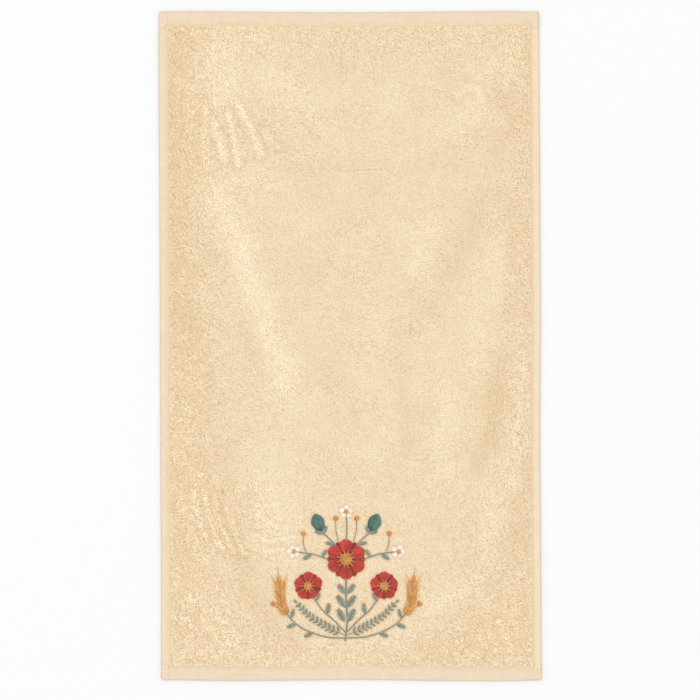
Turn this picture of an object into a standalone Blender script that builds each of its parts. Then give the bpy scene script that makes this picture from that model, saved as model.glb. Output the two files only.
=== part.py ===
"""A terry hand towel, laid out flat with its embroidered face up.

It is one woven cloth: a pile field, a turned hem along each long side and a wider turned hem at
each end. The side hems are folded over the ends of the end hems, so the corners are thicker.
The back lies flat on Z = 0, the width runs along X and the length along Y.
"""

import math

import bmesh
import bpy
import numpy as np

MM = 0.001
NAME = "towel"

# Flat size of the cloth
WIDTH = 400.0 * MM
LENGTH = 703.0 * MM

# Thickness: the pile on both faces counts, and the hems are folded plain weave
PILE_THICK = 3.5 * MM
HEM_THICK = 2.1 * MM
CORNER_LAYERS = 1.35

# Hems, from the folded edge inwards
SIDE_HEM = 7.4 * MM
END_HEM = 13.0 * MM
FOLD_ROUNDING = 0.9 * MM
SEAM_WIDTH = 0.5 * MM
SEAM_DIP = 0.4 * MM
PILE_SLOPE = 1.8 * MM
BACK_INSET = 0.4 * MM
CORNER_ROUNDING = 0.5 * MM

# The pile stands up in a band along each long side and lies flatter between them
BAND_WIDTH = 45.0 * MM
BAND_LOFT = 0.3 * MM

# Outline, in mm: how far an edge lies outside the plain rectangle, at places along it from its middle
LEFT_EDGE = (
    (-351, -1.3), (-288, -1.4), (-225, -1.3), (-141, -0.6), (6, -0.2),
    (111, 0.2), (237, 1.0), (322, 1.6), (351, 0.9),
)
RIGHT_EDGE = (
    (-349, 1.5), (-288, 1.1), (-225, 0.7), (-162, 0.2), (-120, -0.3), (-57, -0.2),
    (27, 0.5), (132, -0.2), (195, -0.5), (258, -1.0), (351, -1.3),
)
TOP_EDGE = (
    (-198, 0.0), (-193, -0.4), (-187, 0.3), (-163, 0.7), (-116, 0.2), (-68, -0.3),
    (-21, -0.5), (26, -0.5), (73, -0.1), (121, 0.4), (168, 0.8), (184, 0.3), (189, -0.2), (195, 0.2),
)
BOTTOM_EDGE = (
    (-198, -0.4), (-179, -0.2), (-147, 0.4), (-116, 0.6), (-68, 0.3), (-21, -0.3),
    (10, -0.6), (58, 0.2), (105, 0.8), (152, 0.9), (184, 0.5), (191, -0.1), (198, -0.1),
)
EDGE_SMOOTHING = 6.0

# Main creases and soft ridges, in mm: start x and y, end x and y, half width, height (troughs are negative)
FOLDS = (
    ("crease across the top", -63, 189, 137, 186, 8, -0.55),
    ("long ridge, left of middle", -134, 153, -63, -51, 15, 0.40),
    ("crease beside the long ridge", -142, 117, -89, -25, 8, -0.40),
    ("trough, right of middle", 126, 122, 89, 48, 13, -0.40),
    ("soft rise, left of the flowers", -92, -112, -78, -188, 20, 0.35),
    ("dip, lower left", -158, -222, -79, -309, 14, -0.30),
    ("dip, lower right", 108, -196, 152, -262, 16, -0.30),
    ("soft rise, right side", 147, 75, 150, -170, 16, 0.25),
)

# Ridges of ruffled pile, in mm: half width, height, then the x and y of each point along the crest
RIDGES = (
    ("upper left, first", 5.0, 0.40, (-149, 249), (-154, 212), (-151, 185)),
    ("upper left, second", 5.0, 0.40, (-145, 239), (-137, 212), (-132, 198)),
    ("upper left, third", 5.0, 0.40, (-128, 242), (-119, 212), (-117, 192)),
    ("upper left, fourth", 5.0, 0.40, (-119, 256), (-101, 226), (-94, 202)),
    ("upper left, last and faint", 5.0, 0.22, (-93, 229), (-76, 210)),
    ("lower left, first", 3.6, 0.36, (-165, -152), (-162, -173), (-160, -189), (-151, -203)),
    ("lower left, second", 3.6, 0.36, (-153, -158), (-149, -180), (-143, -200), (-137, -212)),
    ("lower left, third", 3.6, 0.36, (-144, -157), (-140, -177), (-133, -198), (-124, -218)),
    ("lower left, fourth", 3.6, 0.36, (-130, -168), (-126, -189), (-119, -204), (-112, -217)),
    ("beside the flowers, first", 3.2, 0.22, (-110, -164), (-95, -166), (-77, -165)),
    ("beside the flowers, second", 3.2, 0.26, (-104, -189), (-85, -187), (-68, -191)),
    ("beside the flowers, third", 3.2, 0.22, (-102, -197), (-85, -203), (-62, -200)),
    ("beside the flowers, last", 3.2, 0.22, (-93, -215), (-68, -212)),
    ("lower left corner, trough", 4.0, -0.34, (-168, -284), (-160, -297), (-150, -310), (-141, -320)),
    ("lower left corner, inner trough", 4.0, -0.30, (-156, -279), (-147, -287), (-140, -296), (-136, -309)),
    ("lower right corner, first", 4.5, 0.30, (142, -293), (154, -319)),
    ("lower right corner, second", 4.5, 0.30, (155, -288), (168, -317)),
    ("upper right, swirl", 4.5, 0.26, (112, 262), (122, 272), (136, 270), (140, 258)),
)

# Low swells over the whole field, in mm: wave length, direction in degrees, height, start in degrees
SWELLS = (
    (230, 20, 0.10, 40),
    (118, 78, 0.10, 200),
    (74, -35, 0.11, 15),
    (52, 12, 0.08, 120),
)

# Spacing of the surface's points, in mm: up to this distance from the left or lower edge, at this step.
# It is finest across the ridges.
COLUMN_BANDS = ((118.0, 3.6), (316.0, 14.0), (390.8, 6.0))
ROW_BANDS = ((95.0, 6.5), (200.0, 6.0), (500.0, 16.0), (688.2, 9.0))

CLOTH_COLOUR = (0.86, 0.69, 0.47, 1.0)
CLOTH_ROUGHNESS = 0.95


def clear_objects():
    for obj in list(bpy.data.objects):
        bpy.data.objects.remove(obj, do_unlink=True)


def hem_profile(width):
    """Distances from a folded edge to the pile, and the cloth's thickness at each."""
    distances = (0.0, FOLD_ROUNDING, width / 2, width - SEAM_WIDTH, width + PILE_SLOPE)
    heights = (HEM_THICK / 2, HEM_THICK * 0.93, HEM_THICK, HEM_THICK - SEAM_DIP, PILE_THICK)
    return distances, heights


def stations(hem_width, size, bands):
    """Distances from one edge to the other: both hems' points, and evenly spaced ones in each band."""
    near, _ = hem_profile(hem_width)
    found = list(near)
    for until, step in bands:
        until = min(until * MM, size - near[-1])
        count = max(1, round((until - found[-1]) / (step * MM)))
        found += list(np.linspace(found[-1], until, count + 1)[1:])
    return found[:-1] + [size - distance for distance in reversed(near)]


def edge_offset(edge, along):
    """How far an edge lies outside the rectangle, with the table's kinks smoothed."""
    places = [row[0] for row in edge]
    offsets = [row[1] for row in edge]
    samples = [along / MM + shift for shift in (-EDGE_SMOOTHING, 0.0, EDGE_SMOOTHING)]
    return float(np.mean(np.interp(samples, places, offsets))) * MM


def between_edges(station, size, low_offset, high_offset):
    """Moves a station outwards with the nearer edge, less and less towards the far one."""
    share = station / size
    return station - size / 2 - (1 - share) * low_offset + share * high_offset


def fold_height(x, y):
    """Creases and ridges: a smooth cross-section that fades out at both ends."""
    total = 0.0
    for _, x1, y1, x2, y2, half_width, height in FOLDS:
        length = math.hypot(x2 - x1, y2 - y1)
        along = ((x - x1) * (x2 - x1) + (y - y1) * (y2 - y1)) / length
        across = ((y - y1) * (x2 - x1) - (x - x1) * (y2 - y1)) / length
        beyond = max(-along, along - length, 0.0)
        total += height * math.exp(-((across / half_width) ** 2) - (beyond / (2 * half_width)) ** 2)
    return total


def distance_to_path(x, y, path):
    """Distance from a place to the line through the path's points."""
    found = []
    for (x1, y1), (x2, y2) in zip(path, path[1:]):
        length = math.hypot(x2 - x1, y2 - y1)
        along = ((x - x1) * (x2 - x1) + (y - y1) * (y2 - y1)) / length
        share = min(max(along / length, 0.0), 1.0)
        found.append(math.hypot(x - x1 - share * (x2 - x1), y - y1 - share * (y2 - y1)))
    return min(found)


def ridge_height(x, y):
    """Ridges and troughs of ruffled pile: each is highest on its line and fades out beside it."""
    total = 0.0
    for _, half_width, height, *path in RIDGES:
        total += height * math.exp(-((distance_to_path(x, y, path) / half_width) ** 2))
    return total


def swell_height(x, y):
    total = 0.0
    for wave, direction, height, start in SWELLS:
        turn = math.radians(direction)
        distance = x * math.cos(turn) + y * math.sin(turn)
        total += height * math.sin(2 * math.pi * distance / wave + math.radians(start))
    return total


def unevenness(x, y):
    """How far the pile field's surface lies above its plain thickness at a place in mm."""
    return (fold_height(x, y) + ridge_height(x, y) + swell_height(x, y)) * MM


def thickness(from_side, from_end, x, y):
    """The cloth's thickness at these distances from the nearest side edge and the nearest end."""
    by_side = np.interp(from_side, *hem_profile(SIDE_HEM))
    by_end = np.interp(from_end, *hem_profile(END_HEM))
    height = float(min(by_side, by_end))
    if from_side < SIDE_HEM and from_end < END_HEM:
        return height * CORNER_LAYERS
    if from_side > SIDE_HEM and from_end > END_HEM:
        loft = BAND_LOFT * max(0.0, 1.0 - from_side / BAND_WIDTH)
        return height + loft + unevenness(x / MM, y / MM)
    return height


def shape_front(bm, columns, rows):
    """Moves the points of a unit grid to their places on the towel's front."""
    last_column = len(columns) - 1
    last_row = len(rows) - 1
    for vert in bm.verts:
        column = round((vert.co.x + 0.5) * last_column)
        row = round((vert.co.y + 0.5) * last_row)
        plain_x = columns[column] - WIDTH / 2
        plain_y = rows[row] - LENGTH / 2
        left, right = edge_offset(LEFT_EDGE, plain_y), edge_offset(RIGHT_EDGE, plain_y)
        bottom, top = edge_offset(BOTTOM_EDGE, plain_x), edge_offset(TOP_EDGE, plain_x)
        x = between_edges(columns[column], WIDTH, left, right)
        y = between_edges(rows[row], LENGTH, bottom, top)
        if column in (0, last_column) and row in (0, last_row):
            x -= math.copysign(CORNER_ROUNDING, x)
            y -= math.copysign(CORNER_ROUNDING, y)
        from_side = min(columns[column], WIDTH - columns[column])
        from_end = min(rows[row], LENGTH - rows[row])
        vert.co = (x, y, thickness(from_side, from_end, plain_x, plain_y))


def close_back(bm):
    """Turns the folded edge under, all the way round, and fills the flat back."""
    rim = [edge for edge in bm.edges if edge.is_boundary]
    made = bmesh.ops.extrude_edge_only(bm, edges=rim)["geom"]
    for vert in (item for item in made if isinstance(item, bmesh.types.BMVert)):
        at_side = abs(vert.co.x) > WIDTH / 2 - SIDE_HEM / 2
        at_end = abs(vert.co.y) > LENGTH / 2 - END_HEM / 2
        vert.co.x -= math.copysign(BACK_INSET * at_side, vert.co.x)
        vert.co.y -= math.copysign(BACK_INSET * at_end, vert.co.y)
        vert.co.z = 0.0
    rim = [edge for edge in bm.edges if edge.is_boundary]
    bmesh.ops.triangle_fill(bm, edges=rim, use_beauty=True)


def centre_on_origin(bm):
    """Puts the middle of the cloth's outline over the origin."""
    for axis in (0, 1):
        places = [vert.co[axis] for vert in bm.verts]
        middle = (min(places) + max(places)) / 2
        for vert in bm.verts:
            vert.co[axis] -= middle


def cloth_material():
    material = bpy.data.materials.new("cream_terry")
    material.use_nodes = True
    shader = material.node_tree.nodes["Principled BSDF"]
    shader.inputs["Base Color"].default_value = CLOTH_COLOUR
    shader.inputs["Roughness"].default_value = CLOTH_ROUGHNESS
    shader.inputs["Metallic"].default_value = 0.0
    return material


def make_towel(collection):
    columns = stations(SIDE_HEM, WIDTH, COLUMN_BANDS)
    rows = stations(END_HEM, LENGTH, ROW_BANDS)
    bpy.ops.mesh.primitive_grid_add(
        x_subdivisions=len(columns) - 1, y_subdivisions=len(rows) - 1, size=1.0
    )
    towel = bpy.context.active_object
    towel.name = NAME
    towel.data.name = NAME

    bm = bmesh.new()
    bm.from_mesh(towel.data)
    shape_front(bm, columns, rows)
    close_back(bm)
    centre_on_origin(bm)
    bmesh.ops.recalc_face_normals(bm, faces=bm.faces)
    bm.to_mesh(towel.data)
    bm.free()

    towel.data.shade_smooth()
    towel.data.set_sharp_from_angle(angle=math.radians(50))
    towel.data.materials.append(cloth_material())
    for other in list(towel.users_collection):
        other.objects.unlink(towel)
    collection.objects.link(towel)


def main():
    clear_objects()
    collection = bpy.data.collections.new("terry_hand_towel")
    bpy.context.scene.collection.children.link(collection)
    make_towel(collection)


main()
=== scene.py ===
import functools
import math

import bmesh
import bpy
import numpy as np
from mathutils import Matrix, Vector


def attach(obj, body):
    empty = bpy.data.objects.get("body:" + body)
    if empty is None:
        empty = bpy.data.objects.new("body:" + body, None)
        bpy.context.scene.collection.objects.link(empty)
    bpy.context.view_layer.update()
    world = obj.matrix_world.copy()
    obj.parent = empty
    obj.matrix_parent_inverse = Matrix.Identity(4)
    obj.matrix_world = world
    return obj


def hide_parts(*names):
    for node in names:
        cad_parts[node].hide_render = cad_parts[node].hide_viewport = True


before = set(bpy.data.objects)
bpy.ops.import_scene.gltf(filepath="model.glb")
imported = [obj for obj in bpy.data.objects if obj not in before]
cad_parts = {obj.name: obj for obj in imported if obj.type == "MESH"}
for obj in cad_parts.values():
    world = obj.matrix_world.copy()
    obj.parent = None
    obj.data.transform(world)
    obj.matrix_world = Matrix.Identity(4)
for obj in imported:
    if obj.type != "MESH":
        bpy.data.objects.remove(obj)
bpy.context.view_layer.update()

# All lengths in this script are in mm, and a mesh is scaled to metres when it is made.
MM = 0.001

# Flat size of the cloth
WIDTH = 400.0
LENGTH = 703.0

# Thickness over the pile and of the folded hems, and the depth of the pile's tips over the ground
PILE_THICK = 3.5
HEM_THICK = 2.1
PILE_DEPTH = 0.5

# Hems: their widths, the seam line inside them and the slope up to the pile
SIDE_HEM = 7.4
END_HEM = 13.0
SEAM_DEPTH = 0.30
SEAM_OUT = 0.45
PILE_SLOPE = 1.8

# Cross-section of a hem: distance from the folded edge and height, the height of its middle, and
# distance from the hem's inner edge and height
HEM_EDGE = ((0.0, 1.05), (0.15, 1.50), (0.45, 1.83), (0.95, 2.02), (1.8, 2.10))
HEM_MIDDLE = 2.16
HEM_INNER = ((2.2, 2.12), (1.1, 2.02))
HEM_PUCKER = 0.07
HEM_WAVES = 0.06

# Corners: thickness in hem thicknesses, and how far the folded side hem reaches across and along
CORNER_LAYERS = 1.3
CORNER_LUMPS = 0.12
CORNER_RADIUS = 1.3
CORNER_WIDTH = 9.2
CORNER_BEYOND = 4.0

# The folded edge: how high its underside rises, and how wide the painted shade along its rim is
RIM_HEIGHT = 0.78
RIM_SHADE_WIDTH = 1.3

# Back: its height over what it lies on, the height of its seam line and the depth of its pile
BACK_LEVEL = 0.08
BACK_SEAM = 0.35
BACK_PILE = 0.13

# Spacing of the cloth's points on the hems and between them
HEM_STEP = 2.6
CLOTH_STEP = 3.2

# The pile stands up in a band along each long side and lies flatter between them
BAND_WIDTH = 45.0
BAND_LOFT = 0.3

# Outline: how far an edge lies outside the plain rectangle, at places along it from its middle
LEFT_EDGE = (
    (-351, -1.3), (-288, -1.4), (-225, -1.3), (-141, -0.6), (6, -0.2),
    (111, 0.2), (237, 1.0), (322, 1.6), (351, 0.9),
)
RIGHT_EDGE = (
    (-349, 1.5), (-288, 1.1), (-225, 0.7), (-162, 0.2), (-120, -0.3), (-57, -0.2),
    (27, 0.5), (132, -0.2), (195, -0.5), (258, -1.0), (351, -1.3),
)
TOP_EDGE = (
    (-198, 0.0), (-193, -0.4), (-187, 0.3), (-163, 0.7), (-116, 0.2), (-68, -0.3),
    (-21, -0.5), (26, -0.5), (73, -0.1), (121, 0.4), (168, 0.8), (184, 0.3), (189, -0.2), (195, 0.2),
)
BOTTOM_EDGE = (
    (-198, -0.4), (-179, -0.2), (-147, 0.4), (-116, 0.6), (-68, 0.3), (-21, -0.3),
    (10, -0.6), (58, 0.2), (105, 0.8), (152, 0.9), (184, 0.5), (191, -0.1), (198, -0.1),
)
EDGE_SMOOTHING = 6.0

# Main creases and soft ridges: start x and y, end x and y, half width, height (troughs are negative)
FOLDS = (
    ("crease across the top", -63, 189, 137, 186, 8, -0.55),
    ("long ridge, left of middle", -134, 153, -63, -51, 15, 0.40),
    ("crease beside the long ridge", -142, 117, -89, -25, 8, -0.40),
    ("trough, right of middle", 126, 122, 89, 48, 13, -0.40),
    ("soft rise, left of the flowers", -92, -112, -78, -188, 20, 0.35),
    ("dip, lower left", -158, -222, -79, -309, 14, -0.30),
    ("dip, lower right", 108, -196, 152, -262, 16, -0.30),
    ("soft rise, right side", 147, 75, 150, -170, 16, 0.25),
)

# Ridges of ruffled pile: half width, height, then the x and y of each point along the crest
RIDGES = (
    # Upper left, the last one faint
    (5.0, 0.40, (-149, 249), (-154, 212), (-151, 185)),
    (5.0, 0.40, (-145, 239), (-137, 212), (-132, 198)),
    (5.0, 0.40, (-128, 242), (-119, 212), (-117, 192)),
    (5.0, 0.40, (-119, 256), (-101, 226), (-94, 202)),
    (5.0, 0.22, (-93, 229), (-76, 210)),
    # Lower left
    (3.6, 0.36, (-165, -152), (-162, -173), (-160, -189), (-151, -203)),
    (3.6, 0.36, (-153, -158), (-149, -180), (-143, -200), (-137, -212)),
    (3.6, 0.36, (-144, -157), (-140, -177), (-133, -198), (-124, -218)),
    (3.6, 0.36, (-130, -168), (-126, -189), (-119, -204), (-112, -217)),
    # Beside the flowers
    (3.2, 0.22, (-110, -164), (-95, -166), (-77, -165)),
    (3.2, 0.26, (-104, -189), (-85, -187), (-68, -191)),
    (3.2, 0.22, (-102, -197), (-85, -203), (-62, -200)),
    (3.2, 0.22, (-93, -215), (-68, -212)),
    # Lower left corner, two troughs
    (4.0, -0.34, (-168, -284), (-160, -297), (-150, -310), (-141, -320)),
    (4.0, -0.30, (-156, -279), (-147, -287), (-140, -296), (-136, -309)),
    # Lower right corner
    (4.5, 0.30, (142, -293), (154, -319)),
    (4.5, 0.30, (155, -288), (168, -317)),
    # Upper right, a swirl
    (4.5, 0.26, (112, 262), (122, 272), (136, 270), (140, 258)),
    # Thin creases across the top
    (1.5, -0.28, (-52, 186), (-30, 187), (-10, 184), (10, 185), (33, 187)),
    (1.5, -0.15, (110, 191), (133, 194)),
    # Troughs between the ridges, upper left
    (2.3, -0.14, (-150, 227), (-144, 213), (-142, 195), (-138, 174)),
    (2.3, -0.14, (-136, 233), (-130, 219), (-125, 206), (-122, 195)),
    (2.3, -0.14, (-120, 244), (-109, 220), (-105, 210), (-109, 192)),
    (2.3, -0.12, (-96, 239), (-88, 227), (-83, 216)),
    # Thin creases along the ridges, lower left
    (1.1, -0.30, (-163, -182), (-161, -188), (-160, -195)),
    (1.1, -0.30, (-142, -175), (-138, -190), (-136, -200), (-131, -209)),
    (1.1, -0.30, (-127, -180), (-124, -193), (-120, -200), (-117, -203)),
    # Thin creases beside the flowers
    (1.0, -0.25, (-104, -164), (-88, -163), (-82, -166), (-76, -164)),
    (1.0, -0.25, (-84, -189), (-79, -188), (-76, -190), (-69, -186)),
    (1.0, -0.20, (-103, -191), (-97, -195), (-93, -196)),
    (1.0, -0.30, (-96, -199), (-89, -202), (-81, -200), (-74, -200)),
    (1.0, -0.25, (-74, -200), (-61, -196), (-53, -196)),
)

# Low swells over the whole field: wave length, direction in degrees, height, start in degrees
SWELLS = (
    (230, 20, 0.10, 40),
    (118, 78, 0.10, 200),
    (74, -35, 0.11, 15),
    (52, 12, 0.08, 120),
)

# Streaks of painted light and shade on the brushed pile, pale (positive) where it lies flat towards
# the light and darker where it stands: half width, strength, then the x and y of each point along the streak
STREAKS = (
    # Pale: the long streak left of the middle, and the patch above the flowers
    (15, 1.0, (-139, 150), (-114, 96), (-97, 64), (-84, 6), (-68, -42)),
    (22, 0.7, (-88, -152), (-70, -209)),
    # Pale: ruffles at the upper left, a patch at the lower left
    (36, 0.75, (-118, 255), (-138, 192)),
    (14, 0.2, (-152, -232), (-147, -262)),
    # Pale: along the top, the upper left corner and below the ruffles
    (14, 0.5, (149, 284), (112, 228)),
    (14, 0.6, (-79, 285), (-37, 246)),
    (17, 0.3, (42, 258)),
    (14, 0.7, (-105, 326), (-137, 311), (-134, 264)),
    (14, 0.6, (-92, 174)),
    # Pale: right of the middle and down the right side
    (16, 0.6, (84, 130), (70, 82)),
    (10, 0.4, (152, 110), (152, 60)),
    (11, 0.4, (133, 25), (133, -20)),
    (12, 0.7, (102, -50), (97, -136)),
    (11, 0.7, (173, -125), (152, -183), (145, -225), (121, -256), (84, -275)),
    # Pale: the centre, the lower left corner and below the flowers
    (14, 0.2, (21, 33), (23, -57), (31, -115)),
    (11, 0.8, (-158, -267), (-121, -319)),
    (16, 0.3, (-32, -304), (42, -304)),
    # Dark: down the left side, from the top to the flowers
    (15, -0.8, (-178, 332), (-178, 60), (-172, -4)),
    (15, -0.8, (-172, 24)),
    (14, -0.3, (-165, 170), (-160, 120)),
    (13, -0.4, (-181, 274), (-179, 195)),
    (15, -0.6, (-147, -30), (-152, -83)),
    (14, -0.6, (-173, -132), (-131, -109)),
    # Dark: the diagonal at the lower left, and in and beside the ruffles
    (11, -0.7, (-137, -162), (-121, -214), (-105, -256), (-63, -314)),
    (11, -0.5, (-121, 227)),
    (11, -0.5, (-105, 269), (-68, 211)),
    # Dark: the upper middle, and the edge of the long pale streak
    (16, -0.6, (-11, 292)),
    (13, -0.6, (26, 164)),
    (20, -0.3, (-42, 169)),
    (13, -0.5, (-45, 78)),
    (11, -0.2, (-112, 10), (-105, -25)),
    # Dark: the upper right, and the streak and spots down the right side
    (12, -0.9, (166, 266), (170, 235), (158, 205)),
    (18, -0.3, (110, 295)),
    (12, -0.6, (136, 154), (121, 106), (104, 72)),
    (12, -0.25, (84, 38), (44, 20)),
    (12, -0.6, (157, 164), (172, 143), (168, 90), (166, 27)),
    # Dark: the lower right, with a pale strip at its edge
    (12, -1.1, (160, -15), (150, -67), (135, -125)),
    (12, -0.5, (147, -45), (143, -85)),
    (10, -0.5, (168, -160), (172, -225)),
    (9, 0.6, (182, -30), (180, -110)),
    (13, -0.5, (181, -135), (173, -209), (152, -241)),
    (13, -0.3, (126, -283), (79, -325)),
    (13, -0.5, (184, -325)),
    # Dark: the centre
    (14, -0.4, (-32, -15), (0, -67)),
    (12, -0.5, (47, -20), (58, -72), (63, -104)),
    # Dark: painted shadow in strips beside the hems
    (8, -0.15, (0, 333), (180, 333)),
    (4, -0.6, (-187, -330), (-187, 330)),
    (4, -0.6, (187, -330), (187, 330)),
)

# How much painted light and shade the streaks and the creases put into the tone, how far the streaks
# waver and over what length, and the clouds of tone: amount, size and seed
STREAK_LIGHT_AND_SHADE = 0.17
FOLD_LIGHT_AND_SHADE = 0.10
TONE_CLOUDS = ((0.015, 30.0, 33), (0.02, 9.0, 34))
STREAK_WAVER = 7.0
WAVER_LENGTH = 22.0

# The ridges' crests get painted light, over a wider strip than they rise, and their flanks painted
# shade. They waver less than the streaks and are broken up
RIDGE_LIGHT_AND_SHADE = 0.66
RIDGE_SPREAD = 1.05
RIDGE_FLANK = 2.1
RIDGE_WAVER = 0.2
RIDGE_BREAKS = 0.5

# How rough the pile is, from 0 to 1: half width, amount, then the x and y of each point
ROUGH_PLACES = (
    # The bands along the left and right side
    (38, 0.82, (-186, 340), (-186, -340)),
    (26, 0.38, (186, 340), (186, -340)),
    # The ruffles, upper and lower left
    (50, 0.42, (-130, 225)),
    (50, 0.65, (-135, -190)),
    # The lower corners
    (50, 0.65, (-145, -305)),
    (60, 0.72, (145, -310)),
    # Along both ends, and at the right of the middle
    (26, 0.4, (-180, -330), (180, -330)),
    (22, 0.25, (-180, 328), (180, 328)),
    (30, 0.08, (150, -60), (150, -200)),
)
LEAST_ROUGH = 0.06

# Pile: rows and columns of tufts, joined in bands, and how far inside the hems they start
PILE_BANDS = 5
TUFT_PITCH = 1.22
TUFT_JITTER = 0.5
SIDE_INSET = 3.4
END_INSET = 3.2

# A tuft's size, and as shares the height of its root and of its widest place, how far along that
# lies, and how far back the root stands
TUFT_HALF_WIDTH = 0.55
TUFT_REACH = 2.7
ROOT_RISE = 0.60
ROOT_BACK = 0.35
WIDEST_RISE = 0.70
WIDEST_PLACE = 0.55

# How far a tuft's foot sinks into the ground, and how high the tufts beside the hems stand
ROOT_SUNK = 0.25
EDGE_RISE = 0.55

# The nap: its direction in degrees, the strokes in which tufts cling together, and the gaps between
NAP_DIRECTION = -42.0
GRAIN_LENGTH = 6.5
GRAIN_WIDTH = 1.7
GAP_WIDTH = 0.16

# How the nap bends: amount and size of each layer of noise, and its seeds for x and for y
NAP_BENDS = ((30.0, 120.0, 70, 72), (8.0, 34.0, 71, 73), (1.6, 9.0, 74, 75))

# Clumps in which the tufts lean: amount and size of each layer; how much each tuft leans its own
# way; and the least and the most lean that its length shows
CLUMPS = ((0.35, 14.0), (0.8, 6.0), (0.6, 3.5))
OWN_LEAN = 0.16
LEAST_LEAN = 0.35
MOST_LEAN = 1.15

# Each tuft's place on its map: one row of so many, in a strip of this half width at its tone
BAKE_SLOTS = 16
BAKE_HALF_WIDTH = 0.004

# Pile that is brushed smooth, and pile that stands rough: depth of each tuft's own ridge and of the
# gaps between strokes, unevenness of the tufts' length, lean along the nap and in clumps, mean tone,
# and the painted shade: how much darker the gaps are, and some of the tufts at random, for the shaded
# specks between them
TUFT_RIDGE = (0.32, 0.45)
GAP_DEPTH = (0.03, 0.12)
SHORTER = (0.08, 0.20)
LEAN_ALONG = (0.95, 0.65)
LEAN_CLUMPED = (0.2, 0.5)
PILE_TONE = (0.67, 1.04)
GAP_PAINTED_SHADE = (0.03, 0.12)
TUFT_PAINTED_SHADE = (0.08, 0.60)

# Embroidery: threads and knots, points along a long and a short stitch, and how deep the pile is
# pressed under them
THREAD_WIDTH = 0.80
THREAD_PITCH = 0.66
THREAD_FLATNESS = 0.8
KNOT_RADIUS = 0.80
PETAL_POINTS = 6
LEAF_POINTS = 4
PRESSED_DEPTH = 0.45

# A stem's stitches: their length, the gap between rows, how far each is set across, and the spacing
# of the places along its curve
STEM_STITCH = 4.4
STEM_ROW_GAP = 0.6
STEM_SLANT = 0.22
PATH_STEP = 0.5

# Motifs: radii of blossoms and berries, length and width of the others, spacing of an ear's grains,
# and the turn in degrees from one knot of a seed head to the next
LARGE_BLOSSOM = 22.0
SIDE_BLOSSOM = 15.5
SMALL_PETAL = (6.6, 5.6)
BUD = (22.0, 15.0)
BERRY = 2.9
EAR_GRAIN = (9.6, 4.6)
EAR_SPACING = 4.3
SEED_TURN = 137.5

# Where the spray's foot stands, and the room that it takes
SPRAY_X = -4.0
SPRAY_FOOT = -310.0
SPRAY_ROOM = 160.0

# Leaves of the spray (across, up, direction, length) and its twigs (from, to), on its right side
SPRAY_LEAVES = (
    (1.5, 20, 62, 17), (0.8, 35, 56, 17), (0.5, 49, 52, 15), (20, 28, 100, 13), (33, 41, 118, 12),
    (34, 9, -24, 12), (52, 18, -20, 12), (58, 24, 108, 11), (26, 88, 128, 11), (36, 91.5, -32, 12),
    (12, 101, 14, 11),
)
SPRAY_TWIGS = ((7, 102, 11, 128), (42, 93, 45, 112), (64, 32, 77, 38))

# No tuft stands this near to the embroidery, found on a grid of cells
COVER_CELL = 0.5
COVER_REACH = 0.7

# Sewing: rows of stitches on the corners (x, from y, to y), and the seam along the hems
CORNER_ROWS = (
    (-193.0, 338.0, 350.5),
    (191.6, 338.0, 350.5),
    (-190.6, -350.5, -338.0),
    (192.4, -350.5, -338.0),
    (197.6, -350.5, -338.0),
)
CORNER_PITCH = 3.5
SEAM_PITCH = 3.2
SEAM_INSET = 0.4

# Thread colours, linear: deep and bright
THREAD_COLOURS = {
    "red": ((0.22, 0.012, 0.010), (0.66, 0.065, 0.035)),
    "ochre": ((0.42, 0.17, 0.04), (0.84, 0.44, 0.12)),
    "teal": ((0.030, 0.080, 0.065), (0.13, 0.28, 0.23)),
    "green": ((0.17, 0.18, 0.13), (0.42, 0.43, 0.33)),
    "orange": ((0.45, 0.14, 0.02), (0.86, 0.38, 0.07)),
    "white": ((0.70, 0.62, 0.52), (0.95, 0.90, 0.82)),
    "cream": ((0.42, 0.29, 0.17), (0.93, 0.83, 0.66)),
}

# Colours, linear
# The pile's colours at the dark and the pale end of its tone, which carries painted light and shade
PILE_SHADED = (0.635, 0.465, 0.262)
PILE_PALE = (0.98, 0.915, 0.745)
# Painted shade at the tufts' roots
ROOT_PAINTED_SHADE = (0.95, 0.88, 0.76)
# Painted shade on the ground cloth between the tufts
GROUND_PAINTED_SHADE = (0.78, 0.60, 0.40)
HEM_COLOUR = (0.757, 0.619, 0.455)
HEM_SHADED = (0.713, 0.574, 0.401)
# Painted shade along the folded edge
RIM_PAINTED_SHADE = (0.62, 0.46, 0.34)
FLOOR_COLOUR = (0.79, 0.79, 0.79)

# The hems' weave, as the scale of a wave of this thread pitch in metres
WEAVE_SCALE = 0.314 / 0.0008

# Painted light and shade on each hem, as a factor on the hems' colours
LEFT_HEM_PAINTED_LIGHT = 1.008
RIGHT_HEM_PAINTED_LIGHT = 1.037
END_HEMS_PAINTED_SHADE = 0.980

# Camera, straight above: the photograph's frame is 700 points wide and high
FRAME_POINTS = 700
POINT_SIZE = 1.0507
FRAME_CENTRE_Y = -4.15
LENS = 100.0
SENSOR = 36.0

# Studio light, in metres and watts: pale surroundings and a large soft box far off to the upper left
WORLD_STRENGTH = 1.17
SOFT_BOX_SIZE = 5.0
SOFT_BOX_POWER = 75.0
SOFT_BOX_PLACE = (-4.6, 4.0, 5.6)
FLOOR_HALF = 4000.0
FLOOR_HEIGHT = -0.3

# Every random draw starts from this seed, and noise repeats after so many cells
SEED = 7
NOISE_CELLS = 97


def edge_offset(edge, along):
    """How far an edge lies outside the rectangle, with the table's kinks smoothed."""
    places = [row[0] for row in edge]
    offsets = [row[1] for row in edge]
    shifts = (-EDGE_SMOOTHING, 0.0, EDGE_SMOOTHING)
    return sum(np.interp(along + shift, places, offsets) for shift in shifts) / len(shifts)


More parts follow.
